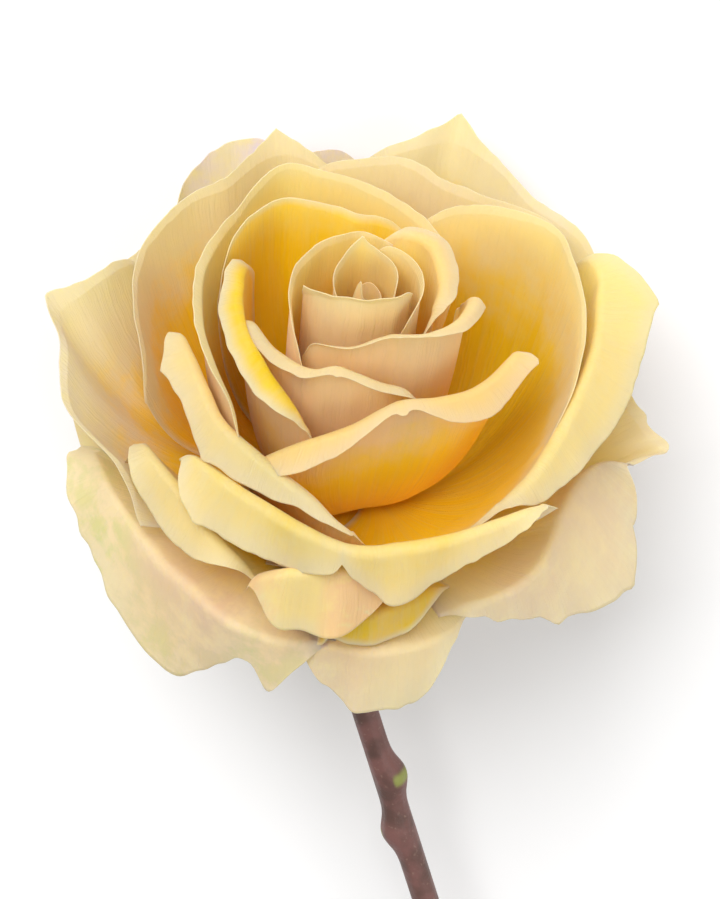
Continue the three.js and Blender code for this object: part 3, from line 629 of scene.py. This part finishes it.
# ---- petals: what sets each one apart ---------------------------------------
# tips are (azimuth, extra lip, width in degrees); a tear has a negative extra. deep and back are where along
# the petal its inner and outer faces turn from their base colour, rim is the width of the paler margin in
# millimetres, and the others are strengths.
LAST_HEART, FIRST_BACK, LAST_BACK, FIRST_OUTER, LOW_LIP = 9, 17, 20, 23, 24
LAVENDER = (25, 26)
USUAL = dict(ragged=0.35, ruffle=0.35, tips=[], deep=(0.55, 0.9), back=(0.3, 0.8),
             veins=0.1, pink=0.0, green=0.0, rim=5.0)
PETAL_LOOKS = {
    1: dict(deep=(0.2, 0.95), ragged=0.2, ruffle=0.2, tips=[(-15, 4, 35)]),
    2: dict(deep=(0.3, 0.95), back=(0.2, 0.6), ragged=0.2, ruffle=0.2, rim=3.0, tips=[(195, 1.5, 6)]),
    3: dict(back=(0.1, 0.5), ragged=0.6, tips=[(-64, 1.2, 3), (92, 1.2, 3)]),
    5: dict(rim=3.0),
    7: dict(back=(0.4, 0.75), ragged=0.5, tips=[(28, 1.2, 3), (95, 2, 4)]),
    8: dict(deep=(0.6, 0.95), back=(0.2, 0.5), ragged=0.4, tips=[(-70, 2.5, 3), (-9, 1.2, 3)]),
    9: dict(deep=(0.6, 0.88), back=(0.5, 0.85), ragged=0.4, tips=[(23, 2.5, 3), (85, 3.5, 4)]),
    10: dict(deep=(0.85, 1.35), rim=3.0, tips=[(-100, 1.5, 4)]),
    11: dict(deep=(0.75, 1.3), rim=2.0),
    12: dict(deep=(0.6, 0.88)),
    13: dict(deep=(0.62, 0.92)),
    14: dict(deep=(0.6, 0.85), tips=[(-70, 2.0, 4), (-44, 2.0, 3)]),
    15: dict(tips=[(109, 2.5, 3)]),
    16: dict(deep=(0.6, 0.95), ragged=0.5, tips=[(-36, 1.5, 3), (-9, 1.0, 3), (3, -3.0, 1.5)]),
    17: dict(rim=3.0),
    18: dict(rim=3.0, deep=(0.6, 0.88), tips=[(-156, 3.8, 4)]),
    19: dict(rim=3.0, tips=[(166, 4.8, 4)], pink=0.25),
    20: dict(deep=(0.4, 0.75), tips=[(-92, 4, 3.5)], pink=0.35, rim=8.0),
    22: dict(pink=2.5, deep=(0.1, 0.4), ragged=0.0, ruffle=0.1),
    23: dict(ragged=0.9, ruffle=0.8, pink=0.5, deep=(0.3, 0.7),
             tips=[(84, -2, 2), (77, 3, 3), (60, 2, 3)]),
    24: dict(deep=(0.9, 1.6), rim=2.0),
    25: dict(pink=1.2, deep=(0.0, 0.2), back=(0.0, 0.2)),
    26: dict(pink=1.2, deep=(0.0, 0.2), back=(0.0, 0.2)),
    29: dict(ragged=0.9, ruffle=1.0, pink=0.8, green=0.6),
    30: dict(ragged=1.3, ruffle=1.0, pink=0.5),
}


def petal_look(number):
    look = dict(USUAL)
    if number >= FIRST_OUTER:
        look.update(deep=(0.15, 0.55), pink=0.4, veins=0.15, ruffle=0.6, rim=9.0)
    look.update(PETAL_LOOKS.get(number, {}))
    return look


def petal(number, rim, material):
    """One petal: its sheet, ruffled toward the margin, closed into a thin shell that thins outward."""
    look = petal_look(number)
    layer = (number - 1) / (len(PETALS) - 1)
    parts = petal_sheet(rim, layer, look["tips"], number, look["ragged"])
    sheet, reach, length, place, ends, crest = parts
    margin = length[:, -1:] - length
    n = normals_of(sheet)
    ruffle = waves(place, int(crest / RUFFLE_SPACING) + 2, SEEDS["ruffle"] + number)[:, None]
    warp = waves(place, WARP_WAVES, SEEDS["warp"] + number)[:, None]
    swing = ruffle * np.exp(-margin / RUFFLE_DEPTH) * look["ruffle"] + WARP * warp * np.sin(np.pi * reach)
    sheet = sheet + n * swing[..., None]
    side = ends[:, None] * (0.25 + 0.75 * reach)
    near = np.minimum(margin, side)
    thickness = mix(THICKNESS_CLAW, THICKNESS_MARGIN, np.clip(reach * 1.15, 0, 1))
    thickness = thickness * (0.5 + 0.5 * smooth(side / 3))
    blush = 0.5 + 0.5 * waves(place, BLUSH_WAVES, SEEDS["blush"] + number)[:, None]
    masks = {
        "reach": reach,
        "edge": np.clip(near / look["rim"], 0, 1),
        "deep_start": np.full_like(reach, look["deep"][0]),
        "deep_end": np.full_like(reach, look["deep"][1]),
        "back_start": np.full_like(reach, look["back"][0]),
        "back_end": np.full_like(reach, look["back"][1]),
        "veins": np.full_like(reach, look["veins"]),
        "pink": look["pink"] * np.clip(blush, 0, 1) * smooth(reach * 1.4),
        "green": look["green"] * np.clip(1.2 - blush, 0, 1) * smooth((reach - 0.6) / 0.35),
    }
    uv = np.stack([(place * crest)[:, None] + 0 * length, length], -1) / UV_UNIT
    name = f"petal_{number:02d}"
    mesh = shell_mesh(f"{name}_sheet", sheet, thickness, masks, uv)
    return finish_piece(f"{name}_sheet", mesh, material, name)


# ---- hip, crown, sepals and stem --------------------------------------------


def smooth_line(points, count):
    """Catmull-Rom through all the points, count of them."""
    return along_rim(points, np.linspace(0, 1, count))


def tube_mesh(name, rings, masks):
    """A closed skin over rings of points (count, sides, 3) in the bloom's frame, capped at both ends."""
    count, sides = rings.shape[:2]
    caps = [rings[0].mean(0), rings[-1].mean(0)]
    points = np.vstack([rings.reshape(-1, 3), caps])
    j = np.arange(count - 1)[:, None]
    i = np.arange(sides)[None, :]
    a = j * sides + i
    b = j * sides + (i + 1) % sides
    walls = np.stack([a, b, b + sides, a + sides], -1).reshape(-1, 4)
    around = np.arange(sides)
    following = (around + 1) % sides
    last = (count - 1) * sides
    centre = count * sides
    bottom = np.stack([following, around, np.full(sides, centre)], -1)
    top = np.stack([last + around, last + following, np.full(sides, centre + 1)], -1)
    loops = np.concatenate([walls.ravel(), bottom.ravel(), top.ravel()])
    totals = np.concatenate([np.full(len(walls), 4), np.full(2 * sides, 3)])
    mesh = mesh_from_loops(name, points, loops, totals)
    add_masks(mesh, {key: np.concatenate([values.ravel(), [values[0].mean(), values[-1].mean()]])
                     for key, values in masks.items()})
    return mesh


def hip(material):
    """A smooth green urn with five faint ribs, one under each sepal."""
    line = smooth_line(hip_profile(), HIP_ROWS)
    rings = round_points(line, HIP_SIDES)
    a = np.linspace(0, 2 * np.pi, HIP_SIDES, endpoint=False)
    belly = np.sin(np.pi * np.linspace(0, 1, HIP_ROWS)) ** 2
    ribs = np.cos(SEPAL_COUNT * (a - math.radians(SEPAL_TURN)))
    rings[..., :2] *= (1 + HIP_FLUTE * belly[:, None] * ribs[None, :])[..., None]
    mesh = tube_mesh("hip_skin", rings, {"height": np.repeat(line[:, 1:] / HIP_LENGTH, HIP_SIDES, 1)})
    finish_piece("hip_skin", mesh, material, "hip")


def crown(material):
    """The core of styles that the heart petals close over: a narrow grooved column with a domed head."""
    low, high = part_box("crown")
    tall = (np.linalg.norm(np.array(high) - np.array(low)) / MM) * 0.9
    seat = hip_profile()[-1, 1] + 0.4
    shares = [[0.9, 0], [1.1, 0.3], [1.3, 0.6], [1.4, 0.85], [1.1, 0.96], [0.5, 1.0]]
    line = smooth_line([[r * CROWN_RADIUS / 1.3, seat + h * tall] for r, h in shares], CROWN_ROWS)
    rings = round_points(line, CROWN_SIDES)
    a = np.linspace(0, 2 * np.pi, CROWN_SIDES, endpoint=False)
    rings[..., :2] *= (1 + CROWN_GROOVE * np.cos(CROWN_GROOVES * a))[None, :, None]
    height = np.repeat((line[:, 1:] - seat) / tall, CROWN_SIDES, 1)
    mesh = tube_mesh("crown_styles", rings, {"height": height})
    finish_piece("crown_styles", mesh, material, "crown")


def sepal(number, material):
    """A reflexed leaf: an arc that bends down past the hip, grooved, toothed and narrowing to a thread."""
    azimuth = SEPAL_TURN + 360 * number / SEPAL_COUNT
    start, end = math.radians(SEPAL_START), math.radians(SEPAL_END)
    bend = (start - end) / SEPAL_LENGTH
    u = np.linspace(0, 1, SEPAL_COLUMNS)[:, None]
    v = np.linspace(0, 1, SEPAL_ROWS)[None, :]
    heading = start - bend * v * SEPAL_LENGTH
    r = HIP_RADIUS + SEPAL_CLEARANCE + (math.sin(start) - np.sin(heading)) / bend
    h = -SEPAL_SEAT + (np.cos(heading) - math.cos(start)) / bend
    width = mix(SEPAL_TIP, SEPAL_WIDTH, np.abs(np.sin(np.pi * (0.28 + 0.72 * v))) ** 0.8)
    teeth = 1 + SEPAL_TOOTH * waves(v[0], SEPAL_TEETH, SEEDS["teeth"] + number) * smooth(v[0] * 3)
    across = (u - 0.5) * 2
    lift = SEPAL_TROUGH * across ** 2 * np.sin(np.pi * v)
    radial = r + lift * np.sin(-heading)
    up = h + lift * np.cos(heading)
    side = across * width * teeth / 2
    a = math.radians(azimuth)
    sheet = np.stack([radial * math.cos(a) - side * math.sin(a),
                      radial * math.sin(a) + side * math.cos(a), up + 0 * side], -1)
    thickness = mix(0.9, 0.35, np.abs(across)) * mix(1, 0.5, v)
    uv = np.stack([side, 0 * side + v * SEPAL_LENGTH], -1) / UV_UNIT
    name = f"sepal_{number + 1}"
    mesh = shell_mesh(f"{name}_leaf", sheet, thickness, {"midrib": np.exp(-(across * 5) ** 2) + 0 * v}, uv)
    finish_piece(f"{name}_leaf", mesh, material, name)


def stem_path():
    """The stem's centre line in world millimetres: down the bloom's axis, round a bend that is a quadratic
    curve, then straight on to the table. The slope is solved so that the cut end rests on the table."""
    axis = BLOOM_AXES[2]
    start = ORIGIN / MM - axis * (HIP_LENGTH + STEM_CLEARANCE)
    corner = start - axis * NECK_LENGTH / 2
    swing = math.radians(STEM_SWING)
    drop = 0
    for _ in range(4):
        level = math.cos(drop)
        run = np.array([math.sin(swing) * level, -math.cos(swing) * level, -math.sin(drop)])
        bend_end = corner + run * NECK_LENGTH / 2
        drop = math.asin((bend_end[2] - STEM_END_RADIUS) / (STEM_LENGTH - NECK_LENGTH))

    def at(s):
        s = np.asarray(s, float)[..., None]
        t = np.clip(s / NECK_LENGTH, 0, 1)
        curve = start * (1 - t) ** 2 + corner * 2 * t * (1 - t) + bend_end * t * t
        return np.where(s >= NECK_LENGTH, bend_end + run * (s - NECK_LENGTH), curve)
    return at


def stem(material):
    """A round twig with swollen, off-centre nodes where the leaves were stripped, and a clean cut end."""
    path = stem_path()
    s = np.linspace(0, STEM_LENGTH, STEM_ROWS)
    heading = path(s + 0.5) - path(s - 0.5)
    heading /= np.linalg.norm(heading, axis=1, keepdims=True)
    side = np.cross([0, 0, 1], heading)
    side /= np.linalg.norm(side, axis=1, keepdims=True)
    up = np.cross(heading, side)
    neck = (NECK_RADIUS - STEM_RADIUS) * np.exp(-s / 8)
    radius = mix(STEM_RADIUS, STEM_END_RADIUS, s / STEM_LENGTH) + neck
    centre = path(s)
    a = np.linspace(0, 2 * np.pi, STEM_SIDES, endpoint=False)
    scar = np.zeros((len(s), STEM_SIDES))
    for place, hand in NODES:
        swell = np.exp(-((s - place) / NODE_LENGTH) ** 2)
        radius = radius + NODE_SWELLING * swell
        centre = centre + side * (hand * NODE_BULGE * swell)[:, None]
        facing = np.cos(a - (0 if hand > 0 else np.pi) - 0.5)
        scar += np.exp(-((s - place) / SCAR_LENGTH)[:, None] ** 2) * smooth((facing[None, :] - 0.5) * 3)
    rough = 1 + 0.012 * np.sin(5 * a + s[:, None] * 0.05) + 0.01 * np.sin(9 * a - s[:, None] * 0.11)
    ring = radius[:, None, None] * rough[..., None] * (
        side[:, None] * np.cos(a)[None, :, None] + up[:, None] * np.sin(a)[None, :, None])
    rings = centre[:, None] + ring
    rings = np.concatenate([rings, [centre[-1] + ring[-1] * k + heading[-1] * 0.05 for k in CUT_RINGS]])
    bare = np.zeros((len(s), STEM_SIDES))
    masks = {
        "scar": np.concatenate([scar, np.zeros((len(CUT_RINGS), STEM_SIDES))]),
        "cut": np.concatenate([bare, np.repeat(np.array(CUT_WOOD)[:, None], STEM_SIDES, 1)]),
        "pith": np.concatenate([bare, np.repeat(np.array(CUT_PITH)[:, None], STEM_SIDES, 1)]),
    }
    in_bloom = (rings * MM - ORIGIN) / MM @ BLOOM_AXES.T
    mesh = tube_mesh("stem_twig", in_bloom, masks)
    finish_piece("stem_twig", mesh, material, "stem")


# ---- their materials ---------------------------------------------------------


def mottle_group():
    """Soft mottling on Object coordinates: broad patches and fine grain."""
    inputs, outputs = [("Patch Scale", "Float", 120.0)], [("Patches", "Float"), ("Grain", "Float")]
    s, given, made = new_group("mottle", inputs, outputs)
    position = s.add("TexCoord").outputs["Object"]
    patches = s.add("TexNoise")
    s.put(patches.inputs["Vector"], position)
    s.put(patches.inputs["Scale"], given["Patch Scale"])
    s.put(made["Patches"], patches.outputs["Fac"])
    s.put(made["Grain"], s.noise(position, 1400, 2))
    return s.tree


def green_material(name, light, dark, rim, mask, mottle):
    """Waxy green tissue: patches of two greens, paler where its mask is high."""
    material, s, shader = new_material(name)
    marks = use_group(s, mottle, {"Patch Scale": 260.0})
    skin = s.blend(s.ramp(marks["Patches"], 0.35, 0.65), colour(dark), colour(light))
    paler = s.ramp(s.attribute(mask), 0.0, 1.0, 0.0, 0.7)
    s.put(shader.inputs["Base Color"], s.blend(paler, skin, colour(rim)))
    add_bump(s, shader, marks["Grain"], 0.3, 0.0002)
    shader.inputs["Roughness"].default_value = 0.5
    shader.inputs["Subsurface Weight"].default_value = 0.1
    shader.inputs["Subsurface Scale"].default_value = 0.001
    return material


def bark_material(mottle):
    """Reddish-brown bark with pale lenticels, greenish leaf scars and a pale cut end with a white pith."""
    material, s, shader = new_material("stem_bark")
    marks = use_group(s, mottle, {"Patch Scale": 160.0})
    bark = s.blend(s.ramp(marks["Patches"], 0.35, 0.65), colour("#5c4038"), colour("#7a524c"))
    position = s.add("TexCoord").outputs["Object"]
    spots = s.noise(position, 900, 2)
    bark = s.blend(s.ramp(spots, 0.62, 0.75, 0.0, 0.35), bark, colour("#a58a78"))
    bark = s.blend(s.ramp(s.attribute("scar"), 0.2, 0.9), bark, colour("#8f9448"))
    wood = s.blend(s.attribute("pith"), colour("#c3cf8c"), colour("#efe9cf"))
    s.put(shader.inputs["Base Color"], s.blend(s.attribute("cut"), bark, wood))
    add_bump(s, shader, marks["Grain"], 0.5, 0.0003)
    shader.inputs["Roughness"].default_value = 0.5
    return material


def floor_material():
    material, _, shader = new_material("studio_floor")
    shader.inputs["Base Color"].default_value = colour("#fafafa")
    shader.inputs["Roughness"].default_value = 0.9
    return material


# ---- build the rose ----------------------------------------------------------
streaks = petal_streak_group()
petal_colours = petal_colour_group(streaks)
mottle = mottle_group()
petal_materials = {
    "heart": petal_material("petal_heart", HEART_COLOURS, petal_colours),
    "middle": petal_material("petal_middle", MIDDLE_COLOURS, petal_colours),
    "back": petal_material("petal_back", BACK_COLOURS, petal_colours),
    "outer": petal_material("petal_outer", OUTER_COLOURS, petal_colours),
}
for number, rim in enumerate(PETALS, 1):
    if number <= LAST_HEART:
        slot, colours = "petal_heart", "heart"
    elif number < FIRST_OUTER or number == LOW_LIP:
        slot, colours = "petal", "back" if FIRST_BACK <= number <= LAST_BACK else "middle"
    else:
        slot, colours = "petal_outer", "back" if number in LAVENDER else "outer"
    petal(number, rim, petal_materials[colours])
hip(green_material("hip_green", "#8d9b50", "#6f8440", "#a8a763", "height", mottle))
crown(green_material("crown_yellow", "#d9b24a", "#c4912c", "#efd27a", "height", mottle))
sepal_green = green_material("sepal_green", "#7f9148", "#5f7a38", "#a9b274", "midrib", mottle)
for number in range(SEPAL_COUNT):
    sepal(number, sepal_green)
stem(bark_material(mottle))

# ---- floor, light and camera -------------------------------------------------
bpy.ops.mesh.primitive_plane_add(size=FLOOR_SIZE, location=(0, 0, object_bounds()[0].z))
floor = bpy.context.object
floor.name = "studio_floor"
floor.data.materials.append(floor_material())


def softbox(name, place, target, size, power):
    """A square area light that looks at a point of the bloom."""
    lamp = bpy.data.lights.new(name, "AREA")
    lamp.shape = "SQUARE"
    lamp.size = size
    lamp.energy = power
    light = bpy.data.objects.new(name, lamp)
    light.location = tuple(place)
    light.rotation_euler = (Vector(target) - Vector(place)).to_track_quat("-Z", "Y").to_euler()
    bpy.context.scene.collection.objects.link(light)


world = bpy.data.worlds.new("studio")
world.use_nodes = True
world.node_tree.nodes["Background"].inputs["Color"].default_value = (1, 1, 1, 1)
world.node_tree.nodes["Background"].inputs["Strength"].default_value = WORLD_STRENGTH
bpy.context.scene.world = world
turn, roll = math.radians(VIEW_ANGLE), math.radians(VIEW_ROLL)
upper, east, axis = BLOOM_AXES
away = math.cos(turn) * axis + math.sin(turn) * upper
lean = (axis - math.cos(turn) * away) / math.sin(turn)
right = math.cos(roll) * east + math.sin(roll) * lean
top = math.cos(roll) * lean - math.sin(roll) * east
place = ORIGIN + (VIEW_DISTANCE * away + VIEW_SHIFT[0] * right + VIEW_SHIFT[1] * top) * MM
camera_data = bpy.data.cameras.new("camera")
camera_data.sensor_fit = "VERTICAL"
camera_data.sensor_height = SENSOR
camera_data.lens = SENSOR * VIEW_DISTANCE / FRAME_HEIGHT
camera = bpy.data.objects.new("camera", camera_data)
turned = Matrix(np.column_stack([right, top, away]).tolist())
camera.matrix_world = Matrix.Translation(place.tolist()) @ turned.to_4x4()
bpy.context.scene.collection.objects.link(camera)
bpy.context.scene.camera = camera
bpy.context.scene.view_settings.view_transform = "Standard"
toward = np.array([away, top, right])
softbox("key", ORIGIN + np.array(KEY_PLACE) @ toward, ORIGIN, KEY_SIZE, KEY_POWER)
softbox("fill", ORIGIN + np.array(FILL_PLACE) @ toward, ORIGIN, FILL_SIZE, FILL_POWER)
